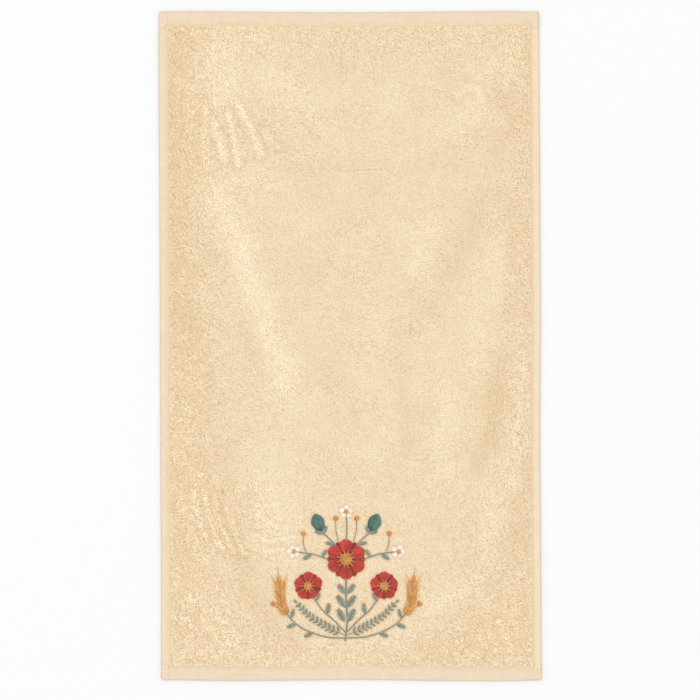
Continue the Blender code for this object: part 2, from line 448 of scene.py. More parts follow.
def outline_middle():
    """Middle of the outline's box, which lies over the origin."""
    across = np.linspace(-WIDTH / 2, WIDTH / 2, 201)
    along = np.linspace(-LENGTH / 2, LENGTH / 2, 201)
    left = edge_offset(LEFT_EDGE, along).max()
    right = edge_offset(RIGHT_EDGE, along).max()
    bottom = edge_offset(BOTTOM_EDGE, across).max()
    top = edge_offset(TOP_EDGE, across).max()
    return (right - left) / 2, (top - bottom) / 2


MIDDLE_X, MIDDLE_Y = outline_middle()


def placed(x, y):
    """Moves places on the plain rectangle to where they lie within the uneven outline."""
    share_x = x / WIDTH + 0.5
    share_y = y / LENGTH + 0.5
    shift_x = share_x * edge_offset(RIGHT_EDGE, y) - (1 - share_x) * edge_offset(LEFT_EDGE, y)
    shift_y = share_y * edge_offset(TOP_EDGE, x) - (1 - share_y) * edge_offset(BOTTOM_EDGE, x)
    return x + shift_x - MIDDLE_X, y + shift_y - MIDDLE_Y


def smooth_noise(x, y, size, seed):
    """Noise from -1 to 1 that changes over about this size."""
    rng = np.random.default_rng(SEED * 1000 + seed)
    values = rng.uniform(-1.0, 1.0, (NOISE_CELLS, NOISE_CELLS))
    turn = rng.uniform(0.0, 2.0 * math.pi)
    u = (x * math.cos(turn) - y * math.sin(turn)) / size + NOISE_CELLS / 2
    v = (x * math.sin(turn) + y * math.cos(turn)) / size + NOISE_CELLS / 2
    column, row = np.floor(u).astype(int), np.floor(v).astype(int)
    blend_u, blend_v = u - column, v - row
    blend_u = blend_u * blend_u * (3.0 - 2.0 * blend_u)
    blend_v = blend_v * blend_v * (3.0 - 2.0 * blend_v)
    near, far = (
        values[line % NOISE_CELLS, column % NOISE_CELLS] * (1 - blend_u)
        + values[line % NOISE_CELLS, (column + 1) % NOISE_CELLS] * blend_u
        for line in (row, row + 1)
    )
    return near * (1 - blend_v) + far * blend_v


def distance_to_path(x, y, path):
    """Distance from each place to the line through the path's points, or to its only point."""
    nearest = np.hypot(x - path[0][0], y - path[0][1])
    for (x1, y1), (x2, y2) in zip(path, path[1:]):
        length = math.hypot(x2 - x1, y2 - y1)
        along = ((x - x1) * (x2 - x1) + (y - y1) * (y2 - y1)) / length
        along = np.clip(along, 0.0, length) / length
        nearest = np.minimum(nearest, np.hypot(x - x1 - along * (x2 - x1), y - y1 - along * (y2 - y1)))
    return nearest


def sum_of_paths(x, y, table, flank=0.0, widened=1.0):
    """Adds up soft streaks: each has its amount on the line, with opposite flanks, and fades out."""
    total = np.zeros(np.shape(x))
    for half_width, amount, *path in table:
        beside = (distance_to_path(x, y, path) / (widened * half_width)) ** 2
        total += amount * (1.0 - flank * beside) * np.exp(-beside)
    return total


def fold_height(x, y):
    """Creases and ridges: a smooth cross-section that fades out at both ends."""
    total = np.zeros(np.shape(x))
    for _, x1, y1, x2, y2, half_width, height in FOLDS:
        length = math.hypot(x2 - x1, y2 - y1)
        along = ((x - x1) * (x2 - x1) + (y - y1) * (y2 - y1)) / length
        across = ((y - y1) * (x2 - x1) - (x - x1) * (y2 - y1)) / length
        beyond = np.maximum(np.maximum(-along, along - length), 0.0)
        total += height * np.exp(-((across / half_width) ** 2) - (beyond / (2 * half_width)) ** 2)
    return total


def swell_height(x, y):
    total = np.zeros(np.shape(x))
    for wave, direction, height, start in SWELLS:
        turn = math.radians(direction)
        distance = x * math.cos(turn) + y * math.sin(turn)
        total += height * np.sin(2 * math.pi * distance / wave + math.radians(start))
    return total


def edge_distances(x, y):
    """Distances of places on the plain rectangle from the nearest side edge and the nearest end."""
    return WIDTH / 2 - np.abs(x), LENGTH / 2 - np.abs(y)


def field_height(x, y):
    """Height of the pile's surface, away from the hems."""
    from_side, _ = edge_distances(x, y)
    loft = BAND_LOFT * np.maximum(0.0, 1.0 - from_side / BAND_WIDTH)
    return PILE_THICK + loft + fold_height(x, y) + sum_of_paths(x, y, RIDGES) + swell_height(x, y)


def pile_share(x, y):
    """0 on the hems and 1 in the pile field, with the slope between them."""
    from_side, from_end = edge_distances(x, y)
    by_side = (from_side - SIDE_HEM) / PILE_SLOPE
    by_end = (from_end - END_HEM) / PILE_SLOPE
    return np.clip(np.minimum(by_side, by_end), 0.0, 1.0)


def hem_height(distance, width):
    """Height of the front of a hem at distances from its folded edge."""
    (edge, edge_heights), (inner, inner_heights) = np.transpose(HEM_EDGE), np.transpose(HEM_INNER)
    distances = [*edge, width / 2, *(width - inner), width - SEAM_OUT, width]
    seam = HEM_THICK - SEAM_DEPTH
    return np.interp(distance, distances, [*edge_heights, HEM_MIDDLE, *inner_heights, seam, seam + 0.1])


def corner_share(from_side, from_end):
    """1 where the side hem's end is folded over the end hem, a little past both hems' inner edges."""
    over_end = np.minimum((CORNER_WIDTH - from_side) / 0.6, (END_HEM - from_end) / 0.5)
    beyond = np.minimum((SIDE_HEM - from_side) / 0.5, (END_HEM + CORNER_BEYOND - from_end) / 0.5)
    return np.clip(np.maximum(over_end, beyond), 0.0, 1.0)


def front_height(x, y):
    """Height of the cloth's front: the hems, and the ground cloth that the pile grows from."""
    from_side, from_end = edge_distances(x, y)
    hem = np.minimum(hem_height(from_side, SIDE_HEM), hem_height(from_end, END_HEM))
    pucker = HEM_PUCKER * smooth_noise(x, y, 5.0, 11) + HEM_WAVES * smooth_noise(x, y, 16.0, 12)
    edge = np.clip(np.minimum(from_side, from_end), 0.0, 1.0)
    hem = hem + pucker * edge
    corner = corner_share(from_side, from_end)
    layers = CORNER_LUMPS * smooth_noise(x, y, 2.6, 13) + CORNER_LAYERS
    hem = hem * (1.0 - corner) + HEM_THICK * layers * (0.5 + edge / 2) * corner
    share = pile_share(x, y) * (1.0 - corner)
    return hem * (1.0 - share) + (field_height(x, y) - PILE_DEPTH) * share


def back_height(x, y):
    """Height of the cloth's back above what it lies on: turned hems, seam line and short pile."""
    from_side, from_end = edge_distances(x, y)
    nearest = np.minimum(from_side, from_end)
    radius = HEM_THICK / 2
    fold = radius - np.sqrt(np.maximum(radius**2 - np.maximum(radius - nearest, 0.0) ** 2, 0.0))
    fold = np.minimum(fold, RIM_HEIGHT)
    seam = np.minimum(np.abs(from_side - SIDE_HEM), np.abs(from_end - END_HEM))
    inside = (from_side > SIDE_HEM - 1.0) & (from_end > END_HEM - 1.0)
    seam = BACK_SEAM * np.clip(1.0 - seam / 1.2, 0.0, 1.0) * inside
    pile = BACK_PILE * (1.0 + smooth_noise(x, y, 5.0, 21)) * pile_share(x, y)
    return np.maximum(fold, BACK_LEVEL + seam + pile)


def stations(size, hem_width):
    """Distances across the cloth: close together on the hems and evenly spaced between them."""
    near = [distance for distance, _ in HEM_EDGE]
    inner = [hem_width - distance for distance, _ in HEM_INNER]
    near += list(np.linspace(near[-1], inner[0], max(2, round(hem_width / HEM_STEP)))[1:])
    near += [inner[1], hem_width - SEAM_OUT, hem_width, hem_width + PILE_SLOPE / 2, hem_width + PILE_SLOPE]
    near += [hem_width + CORNER_BEYOND - 0.5, hem_width + CORNER_BEYOND]
    count = round((size - 2 * near[-1]) / CLOTH_STEP)
    count += (count + 2 * (len(near) - 1)) % 2
    middle = list(np.linspace(near[-1], size - near[-1], count + 1)[1:-1])
    return np.array(near + middle + [size - distance for distance in reversed(near)]) - size / 2


def round_corners(x, y):
    """Pulls the points of the four corners in to a small radius."""
    corner_x = np.maximum(np.abs(x) - (WIDTH / 2 - CORNER_RADIUS), 0.0)
    corner_y = np.maximum(np.abs(y) - (LENGTH / 2 - CORNER_RADIUS), 0.0)
    both = (corner_x > 0) & (corner_y > 0)
    diagonal = np.where(both, np.hypot(corner_x, corner_y), 1.0)
    pull = np.where(both, 1.0 - np.maximum(corner_x, corner_y) / diagonal, 0.0)
    return x - np.sign(x) * corner_x * pull, y - np.sign(y) * corner_y * pull


def make_mesh(name, points, face_groups, smooth=True):
    """A mesh from points in mm and arrays of faces, each array with its own number of corners."""
    corners = np.concatenate([group.ravel() for group in face_groups])
    sizes = np.concatenate([np.full(len(group), group.shape[1]) for group in face_groups])
    starts = np.concatenate([[0], np.cumsum(sizes)[:-1]])
    mesh = bpy.data.meshes.new(name)
    mesh.vertices.add(len(points))
    mesh.vertices.foreach_set("co", (points * MM).astype(np.float32).ravel())
    mesh.loops.add(len(corners))
    mesh.loops.foreach_set("vertex_index", corners.astype(np.int32))
    mesh.polygons.add(len(sizes))
    mesh.polygons.foreach_set("loop_start", starts.astype(np.int32))
    mesh.update(calc_edges=True)
    mesh.validate()
    mesh.polygons.foreach_set("use_smooth", np.full(len(mesh.polygons), smooth))
    return mesh


def add_piece(name, mesh, material):
    """An object that rides on the towel's only body, with the material given to it."""
    mesh.materials.append(material)
    piece = bpy.data.objects.new(name, mesh)
    bpy.context.scene.collection.objects.link(piece)
    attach(piece, "root")
    return piece


def set_attribute(mesh, name, values):
    attribute = mesh.attributes.new(name, "FLOAT", "POINT")
    attribute.data.foreach_set("value", np.asarray(values, np.float32).ravel())


def set_bake_map(mesh, places):
    layer = mesh.uv_layers.new(name="OFBake")
    layer.data.foreach_set("uv", places.astype(np.float32).ravel())


# Materials

def new_material(name, roughness, sheen):
    material = bpy.data.materials.new(name)
    material.use_nodes = True
    shader = material.node_tree.nodes["Principled BSDF"]
    shader.inputs["Roughness"].default_value = roughness
    shader.inputs["Specular IOR Level"].default_value = 0.2
    shader.inputs["Sheen Weight"].default_value = sheen
    shader.inputs["Sheen Roughness"].default_value = 0.6
    return material, shader


def add_node(material, kind, inputs=None, **settings):
    """A shader node. Each of its inputs is a number, a plain colour or another node's output."""
    node = material.node_tree.nodes.new(kind)
    for name, value in settings.items():
        setattr(node, name, value)
    for name, value in (inputs or {}).items():
        if isinstance(value, bpy.types.NodeSocket):
            link(material, value, node.inputs[name])
        else:
            node.inputs[name].default_value = (*value, 1.0) if isinstance(value, tuple) else value
    return node


def link(material, source, target):
    material.node_tree.links.new(source, target)


def attribute_value(material, name):
    return add_node(material, "ShaderNodeAttribute", attribute_name=name).outputs["Fac"]


def object_place(material):
    return add_node(material, "ShaderNodeTexCoord").outputs["Object"]


def mix_colours(material, share, first, second, blend="MIX"):
    """A mix of two colours. The node's inputs 0, 6 and 7 are the share and the two colours."""
    inputs = {0: share, 6: first, 7: second}
    return add_node(material, "ShaderNodeMix", inputs, data_type="RGBA", blend_type=blend).outputs[2]


def noise_value(material, scale, detail=2.0, place=None):
    inputs = {"Scale": scale, "Detail": detail, "Vector": place or object_place(material)}
    return add_node(material, "ShaderNodeTexNoise", inputs).outputs["Fac"]


def math_node(material, operation, first, second):
    return add_node(material, "ShaderNodeMath", {0: first, 1: second}, operation=operation).outputs[0]


def spread(material, value, low, high, new_low=0.0, new_high=1.0):
    """Stretches the part of a value between low and high to a new range."""
    inputs = {"Value": value, "From Min": low, "From Max": high, "To Min": new_low, "To Max": new_high}
    return add_node(material, "ShaderNodeMapRange", inputs).outputs["Result"]


def weave_height(material):
    """Plain weave: warp and weft cross over and under each other by turns."""
    inputs = {"Scale": WEAVE_SCALE, "Distortion": 0.6, "Detail": 1.0, "Detail Scale": 3.0}
    inputs["Vector"] = object_place(material)
    warp, weft = (
        add_node(material, "ShaderNodeTexWave", inputs, wave_type="BANDS", bands_direction=direction)
        for direction in ("X", "Y")
    )
    return math_node(material, "MULTIPLY", warp.outputs["Fac"], weft.outputs["Fac"])


def add_bump(material, shader, height, depth, strength):
    inputs = {"Distance": depth * MM, "Strength": strength, "Height": height}
    bump = add_node(material, "ShaderNodeBump", inputs)
    link(material, bump.outputs["Normal"], shader.inputs["Normal"])


def cloth_material():
    """Plain-woven hems, and the ground cloth between the tufts."""
    material, shader = new_material("woven_ground", 0.9, 0.15)
    in_field = attribute_value(material, "field")
    cloudy = spread(material, noise_value(material, 140.0, 3.0), 0.35, 0.65)
    fine = spread(material, noise_value(material, 1800.0, 2.0), 0.3, 0.7)
    hem = mix_colours(material, cloudy, HEM_COLOUR, HEM_SHADED)
    speckled = mix_colours(material, 0.35, hem, mix_colours(material, fine, HEM_SHADED, HEM_COLOUR))
    # The ground cloth between the tufts in painted shade, mixed with the pile's shaded colour
    ground = mix_colours(material, fine, GROUND_PAINTED_SHADE, PILE_SHADED)
    # Painted light and shade on each hem, carried by the attribute pale
    hems_in_painted_light = mix_colours(material, 1.0, speckled, attribute_value(material, "pale"), "MULTIPLY")
    # Painted shade along the folded rim
    hems_with_painted_rim_shade = mix_colours(material, attribute_value(material, "rim"), hems_in_painted_light, RIM_PAINTED_SHADE)
    link(material, mix_colours(material, in_field, hems_with_painted_rim_shade, ground), shader.inputs["Base Color"])
    loops = noise_value(material, 620.0, 2.0)
    weave = math_node(material, "MULTIPLY", weave_height(material), 0.4)
    height = math_node(material, "ADD", weave, loops)
    add_bump(material, shader, height, 0.5, 0.5)
    return material


def pile_material():
    """Tufts: colour by the tone's painted light and shade, from painted shade at the roots to pale tips."""
    material, shader = new_material("cotton_pile", 0.95, 0.1)
    tone = attribute_value(material, "tone")
    tip = attribute_value(material, "tip")
    body = mix_colours(material, tone, PILE_SHADED, PILE_PALE)
    root_in_painted_shade = mix_colours(material, 1.0, body, ROOT_PAINTED_SHADE, "MULTIPLY")
    rise = spread(material, tip, 0.1, 0.6)
    link(material, mix_colours(material, rise, root_in_painted_shade, body), shader.inputs["Base Color"])
    return material


def thread_material(name):
    """Lustrous embroidery thread: its shade goes from deep to bright, with the twist as fine bump."""
    deep, bright = THREAD_COLOURS[name]
    material, shader = new_material(f"{name}_thread", 0.55, 0.15)
    shader.inputs["Specular IOR Level"].default_value = 0.35
    speckle = spread(material, noise_value(material, 900.0, 2.0), 0.3, 0.7, -0.12, 0.12)
    shade = math_node(material, "ADD", attribute_value(material, "shade"), speckle)
    link(material, mix_colours(material, shade, deep, bright), shader.inputs["Base Color"])
    own_map = add_node(material, "ShaderNodeUVMap", uv_map="OFBake").outputs["UV"]
    add_bump(material, shader, noise_value(material, 420.0, 1.0, own_map), 0.08, 0.35)
    return material


# The cloth itself

def grid_faces(index):
    """Quads of a grid of points, facing up."""
    corners = [index[:-1, :-1], index[:-1, 1:], index[1:, 1:], index[1:, :-1]]
    return np.stack([corner.ravel() for corner in corners], axis=1)


def rim_of(index):
    """Indices round a grid's rim, anticlockwise."""
    return np.concatenate([index[0, :-1], index[:-1, -1], index[-1, :0:-1], index[:0:-1, 0]])


def hem_painted_light(x, y):
    """Painted light on the hems: the right one is painted the palest, the end hems the darkest."""
    at_side = np.where(x > 0.0, RIGHT_HEM_PAINTED_LIGHT, LEFT_HEM_PAINTED_LIGHT)
    return np.where(np.abs(y) > LENGTH / 2.0 - END_HEM, END_HEMS_PAINTED_SHADE, at_side)


def make_cloth():
    """One closed cloth: a fine front with its hems and ground, a coarser back, and the folded edge."""
    x, y = np.meshgrid(stations(WIDTH, SIDE_HEM), stations(LENGTH, END_HEM))
    back_x, back_y = x[::2, ::2], y[::2, ::2]
    front = [*placed(*round_corners(x, y)), front_height(x, y)]
    back = [*placed(*round_corners(back_x, back_y)), back_height(back_x, back_y)]
    points = np.concatenate([np.stack(part, axis=2).reshape(-1, 3) for part in (front, back)])

    upper_index = np.arange(x.size).reshape(x.shape)
    lower_index = x.size + np.arange(back_x.size).reshape(back_x.shape)
    upper, lower = rim_of(upper_index), rim_of(lower_index)
    next_upper, next_lower = np.roll(upper, -1), np.roll(lower, -1)
    side = [
        np.stack([lower, next_lower, next_upper[::2]], axis=1),
        np.stack([lower, next_upper[::2], upper[::2]], axis=1),
        np.stack([next_lower, next_upper[1::2], next_upper[::2]], axis=1),
    ]
    faces = [grid_faces(upper_index), grid_faces(lower_index)[:, ::-1], *side]
    mesh = make_mesh("towel_cloth", points, faces)
    # The attribute pale carries the hems' painted light and shade
    for name, value in (("field", pile_share), ("pale", hem_painted_light)):
        set_attribute(mesh, name, np.concatenate([value(x, y).ravel(), value(back_x, back_y).ravel()]))
    # The attribute rim carries painted shade along the folded edge
    rim = np.clip(1.0 - np.minimum(*edge_distances(x, y)).ravel() / RIM_SHADE_WIDTH, 0.0, 1.0)
    set_attribute(mesh, "rim", np.concatenate([rim, np.zeros(back_x.size)]))
    return add_piece("towel_cloth", mesh, cloth_material())


# Embroidery and sewing

class Stitching:
    """Collects closed forms of one thread colour, to be joined into one piece."""

    def __init__(self):
        self.points = []
        self.triangles = []
        self.places = []
        self.shades = []
        self.count = 0

    def add(self, points, triangles, places, shade):
        """Takes a form's points and triangles, and each corner's place on the form's own map."""
        self.points.append(points)
        self.triangles.append(triangles + self.count)
        self.places.append(places)
        self.shades.append(np.broadcast_to(shade, len(points)))
        self.count += len(points)

    def bake_places(self):
        """Gives each form a cell of its own on the common map."""
        cells = math.ceil(math.sqrt(len(self.places)))
        margin = 0.1
        placed_forms = []
        for number, places in enumerate(self.places):
            corner = np.array([number % cells, number // cells])
            placed_forms.append((corner + margin + (1 - 2 * margin) * places) / cells)
        return np.concatenate(placed_forms)

    def make_piece(self, name, material):
        mesh = make_mesh(name, np.concatenate(self.points), [np.concatenate(self.triangles)])
        set_attribute(mesh, "shade", np.concatenate(self.shades))
        set_bake_map(mesh, self.bake_places())
        return add_piece(name, mesh, material)


@functools.lru_cache
def tube_pattern(rings):
    """Triangles of a closed four-sided tube, and each corner's place on the tube's own map."""
    triangles, places = [], []
    for ring in range(rings - 1):
        low, high = ring / (rings - 1), (ring + 1) / (rings - 1)
        for side in range(4):
            left, right = side / 4, (side + 1) / 4
            near, beside = ring * 4 + side, ring * 4 + (side + 1) % 4
            triangles += [(near, beside, beside + 4), (near, beside + 4, near + 4)]
            places += [((left, low), (right, low), (right, high)), ((left, low), (right, high), (left, high))]
    last = 4 * (rings - 1)
    triangles += [(0, 2, 1), (0, 3, 2), (last, last + 1, last + 2), (last, last + 2, last + 3)]
    places += [((0, 0), (1, 0), (0.5, 0.1))] * 2 + [((0, 1), (1, 0.9), (0.5, 1))] * 2
    return np.array(triangles), np.array(places, float)


def add_thread(stitching, path, width, shade):
    """A thread along a path, as a slightly flattened tube."""
    path = np.asarray(path, float)
    ahead = np.gradient(path, axis=0)
    ahead /= np.linalg.norm(ahead, axis=1, keepdims=True)
    side = np.cross(ahead, (0.0, 0.0, 1.0))
    side /= np.linalg.norm(side, axis=1, keepdims=True)
    lift = np.cross(side, ahead)
    turns = np.radians([0, 90, 180, 270])
    rings = path[:, None] + width / 2 * (
        np.cos(turns)[:, None] * side[:, None] - THREAD_FLATNESS * np.sin(turns)[:, None] * lift[:, None]
    )
    triangles, places = tube_pattern(len(path))
    stitching.add(rings.reshape(-1, 3), triangles, places, np.repeat(shade, 4) if np.ndim(shade) else shade)


def surface(places, above=0.0):
    """Points at a height over the pressed pile under the embroidery, for places on the cloth."""
    places = np.asarray(places, float)
    height = field_height(places[:, 0], places[:, 1]) - PRESSED_DEPTH + above
    return np.column_stack([places, height])


def arch(count, rise, dip):
    """Heights along one stitch: it comes up out of the cloth, bows over and goes down again."""
    share = np.linspace(0.0, 1.0, count)
    heights = rise * np.sin(math.pi * share) ** 0.5
    heights[[0, -1]] -= dip
    return heights


def add_stitch(stitching, places, above, rise, dip, width, shade):
    """One stitch over places on the cloth. Its width is a share of the plain thread's."""
    path = surface(places, above)
    path[:, 2] += arch(len(path), rise, dip)
    add_thread(stitching, path, width * THREAD_WIDTH, shade)


def straight(base, along, start, end, count=LEAF_POINTS):
    """Places on a straight line, from start to end along a direction."""
    return base + np.linspace(start, end, count)[:, None] * along


def add_padding(stitching, outline, rise, shade):
    """A low closed dome under the threads of a petal, so that no cloth shows between them."""
    count = len(outline)
    centre = outline.mean(axis=0)
    rings = [surface(outline, -0.6), surface(centre + 0.65 * (outline - centre), 0.75 * rise)]
    crown, foot = surface([centre], 0.85 * rise), surface([centre], -0.8)
    points = np.concatenate([*rings, crown, foot])
    here = np.arange(count)
    following = (here + 1) % count
    triangles = np.concatenate([
        np.column_stack([here, following, following + count]),
        np.column_stack([here, following + count, here + count]),
        np.column_stack([here + count, following + count, np.full(count, 2 * count)]),
        np.column_stack([following, here, np.full(count, 2 * count + 1)]),
    ])
    low, high = points[:, :2].min(axis=0), points[:, :2].max(axis=0)
    places = ((points[:, :2] - low) / (high - low))[triangles]
    stitching.add(points, triangles, places, shade)


@functools.lru_cache
def knot_pattern():
    """Points and triangles of a small round knot."""
    bm = bmesh.new()
    bmesh.ops.create_icosphere(bm, subdivisions=1, radius=1.0)
    points = np.array([vert.co[:] for vert in bm.verts])
    triangles = np.array([[vert.index for vert in face.verts] for face in bm.faces])
    bm.free()
    return points, triangles


def add_knot(stitching, place, radius, above, shade):
    points, triangles = knot_pattern()
    centre = surface([place], above)[0]
    places = np.tile([(0.0, 0.0), (1.0, 0.0), (0.5, 1.0)], (len(triangles), 1, 1))
    stitching.add(centre + points * radius * (1.0, 1.0, 0.8), triangles, places, shade)


def add_knots(stitching, centre, radius, rng):
    """A round of knots, set in spirals as in a seed head."""
    count = round((radius / KNOT_RADIUS) ** 2 * 1.1)
    number = np.arange(count)
    distance = (radius - 0.5 * KNOT_RADIUS) * np.sqrt((number + 0.5) / count)
    turn = number * math.radians(SEED_TURN)
    for place_x, place_y, out in zip(distance * np.cos(turn), distance * np.sin(turn), distance / radius):
        size = KNOT_RADIUS * rng.uniform(0.85, 1.15)
        above = 0.75 - 0.45 * out**2 + rng.uniform(-0.1, 0.1)
        add_knot(stitching, centre + (place_x, place_y), size, above, rng.uniform(0.25, 1.0) - 0.2 * out)


def half_width_at(share, width, fullness):
    """Half the width of a petal or leaf at a share of its length: its tip is fuller over 1."""
    return width / 2 * np.sin(math.pi * np.clip(share, 0.0, 1.0) ** fullness) ** 0.6


def frame_of(direction):
    """Unit vectors along and across a direction in degrees."""
    turn = math.radians(direction)
    return np.array([math.cos(turn), math.sin(turn)]), np.array([-math.sin(turn), math.cos(turn)])


def heading_of(ahead):
    """The direction of a vector, in degrees."""
    return math.degrees(math.atan2(ahead[1], ahead[0]))


def add_petal(stitching, base, direction, length, width, rng, fullness=1.3, rise=0.8, shade=0.5):
    """A petal, bud or grain of lengthwise threads over padding. The threads draw together at its foot."""
    along, across = frame_of(direction)
    shares = np.linspace(0.0, 1.0, 61)
    half = half_width_at(shares, width, fullness)
    rim = shares[2:-2:4]
    edge = 0.92 * half_width_at(rim, width, fullness)
    left = base + length * rim[:, None] * along + edge[:, None] * across
    right = base + length * rim[:, None] * along - edge[:, None] * across
    # The padding is darker than its threads: painted shade in the gaps between them
    add_padding(stitching, np.concatenate([right, left[::-1]]), rise, 0.8 * shade - 0.2)
    gather = 0.45 + 0.55 * np.clip(shares / 0.6, 0.0, 1.0)
    for line in np.linspace(-0.98, 0.98, max(3, round(width / THREAD_PITCH))) * width / 2:
        inside = shares[np.abs(line * gather) <= half]
        if len(inside) < 3:
            continue
        ends = inside[[0, -1]] + rng.uniform(-0.25, 0.25, 2) / length
        share = np.linspace(*ends, PETAL_POINTS)
        offset = line * np.interp(share, shares, gather)
        dome = rise * math.sqrt(max(0.0, 1.0 - (2 * line / width) ** 2)) ** 0.8
        places = base + length * share[:, None] * along + offset[:, None] * across
        above = rng.uniform(0.0, 0.10)
        tone = shade + 0.5 * (np.linspace(0.0, 1.0, PETAL_POINTS) - 0.5) + rng.uniform(-0.35, 0.35)
        add_stitch(stitching, places, above, dome, 0.45, 1.0, tone)


def add_leaf(stitching, base, direction, length, width, rng, shade=0.5):
    """A pointed leaf of slanting threads, with a darker rib along its middle."""
    along, across = frame_of(direction)
    for share in np.arange(0.0, 0.86, 1.1 * THREAD_PITCH / length):
        for side in (-1.0, 1.0):
            end_share = share + 0.30 * (1.0 - share) + rng.uniform(-0.01, 0.01)
            reach = half_width_at(end_share, width, 0.9)
            start = base + length * share * along - side * 0.2 * across
            end = base + length * end_share * along + side * reach * across
            places = np.linspace(start, end, LEAF_POINTS)
            add_stitch(stitching, places, 0.1, 0.35, 0.4, 1.0, shade + rng.uniform(-0.35, 0.35))
    rib = straight(base, along, 0.0, 0.8 * length, PETAL_POINTS)
    add_stitch(stitching, rib, 0.35, 0.2, 0.4, 0.7, shade - 0.5)


def smooth_path(points):
    """Places a step apart along a smooth curve through the points."""
    points = np.asarray(points, float)
    padded = np.vstack([2 * points[0] - points[1], points, 2 * points[-1] - points[-2]])
    found = []
    for before, here, following, after in zip(padded, padded[1:], padded[2:], padded[3:]):
        count = max(2, round(np.linalg.norm(following - here) / PATH_STEP))
        for share in np.arange(count) / count:
            bend = 2 * before - 5 * here + 4 * following - after
            twist = 3 * here - before - 3 * following + after
            curve = 2 * here + (following - before) * share + bend * share**2 + twist * share**3
            found.append(0.5 * curve)
    return np.vstack([found, points[-1]])


def offset_path(line, offset):
    """A path moved sideways."""
    ahead = np.gradient(line, axis=0)
    ahead /= np.linalg.norm(ahead, axis=1, keepdims=True)
    return line + offset * np.column_stack([-ahead[:, 1], ahead[:, 0]])


def add_stem(stitching, points, rng, rows=1, shade=0.4):
    """A smooth line of overlapping stitches, each set a little across it like the turns of a rope."""
    line = smooth_path(points)
    length = np.linalg.norm(np.diff(line, axis=0), axis=1).sum()
    travelled = np.linspace(0.0, length, len(line))
    share = np.linspace(0.0, 1.0, LEAF_POINTS)[:, None]
    for row in range(rows):
        offset = (row - (rows - 1) / 2) * STEM_ROW_GAP
        sides = offset_path(line, offset), offset_path(line, offset + STEM_SLANT)
        for start in np.arange(0.0, length - 1.0, STEM_STITCH / 2):
            at = start + np.linspace(0.0, STEM_STITCH, LEAF_POINTS)
            first, last = (
                np.column_stack([np.interp(at, travelled, side[:, axis]) for axis in (0, 1)])
                for side in sides
            )
            places = (1 - share) * first + share * last
            add_stitch(stitching, places, 0.1, 0.25, 0.3, 0.9, shade + rng.uniform(-0.2, 0.2))
    return line


def add_berry(stitching, centre, radius, rng):
    """A small round filled with parallel threads over padding."""
    add_petal(stitching, centre - (0.0, radius), 90.0, 2 * radius, 2 * radius, rng, fullness=1.0, rise=0.7)


def add_blossom(threads, centre, radius, petals, rng):
    """Broad petals over a darker under-layer, a seed head of knots, and short rays over the petals."""
    heart = 0.31 * radius
    turns = np.linspace(0.0, 2 * math.pi, 24, endpoint=False)
    disc = centre + 0.62 * radius * np.column_stack([np.cos(turns), np.sin(turns)])
    # The disc and the under-layer of petals are deep red: painted shade in the gaps between the petals
    add_padding(threads["red"], disc, 0.3, 0.0)
    step = 360.0 / petals
    width = 2 * math.pi * 0.62 * radius / petals
    for number in range(petals):
        direction = 90.0 + (number + 0.5) * step + rng.uniform(-3.0, 3.0)
        along, _ = frame_of(direction)
        start = centre + 0.45 * radius * along
        add_petal(threads["red"], start, direction, 0.5 * radius, 0.6 * width, rng, 1.0, 0.35, 0.12)
    for number in range(petals):
        direction = 90.0 + number * step + rng.uniform(-3.0, 3.0)
        along, _ = frame_of(direction)
        length = (radius - 0.6 * heart) * rng.uniform(0.96, 1.04)
        start = centre + 0.6 * heart * along
        add_petal(threads["red"], start, direction, length, width, rng, 1.45, 0.9, 0.55)
    for number in range(2 * petals):
        direction = 90.0 + (number + 0.5) * step / 2
        along, _ = frame_of(direction)
        reach = heart + radius * rng.uniform(0.14, 0.22)
        places = straight(centre, along, 0.8 * heart, reach)
        add_stitch(threads["ochre"], places, 0.75, 0.3, 0.4, 0.8, rng.uniform(0.5, 0.9))
    add_knots(threads["ochre"], centre, heart, rng)


def add_small_blossom(threads, centre, direction, rng):
    """A small white flower of five petals with knots at its heart."""
    for number in range(5):
        way = direction + 72.0 * number
        along, _ = frame_of(way)
        add_petal(threads["white"], centre + along, way, *SMALL_PETAL, rng, 1.4, 0.7, 0.7)
    for number in range(6):
        along, _ = frame_of(direction + 60.0 * number)
        add_knot(threads["orange"], centre + 1.5 * along, 0.95, 0.8, rng.uniform(0.4, 0.9))
    add_knot(threads["orange"], centre, 0.95, 1.0, 0.9)


def add_ear(threads, points, grains, rng):
    """An ear of grain at the end of a curved stem: pairs of grains, a last one, and their awns."""
    line = add_stem(threads["green"], points, rng, rows=2)
    for number in range(grains):
        index = len(line) - 1 - round(number * EAR_SPACING / PATH_STEP)
        heading = heading_of(line[index] - line[index - 3])
        sides = (0.0,) if number == 0 else (-30.0, 30.0)
        for side in sides:
            direction = heading + side + rng.uniform(-3.0, 3.0)
            along, _ = frame_of(direction)
            base = line[index] + 0.6 * along
            length = EAR_GRAIN[0] - 0.1 * number
            add_petal(threads["ochre"], base, direction, length, EAR_GRAIN[1], rng, 1.0, 0.8, 0.5)
            awn = straight(base + along * length, along, -0.5, 7.0 - 0.5 * number)
            add_stitch(threads["ochre"], awn, 0.2, 0.15, 0.3, 0.6, 0.7)


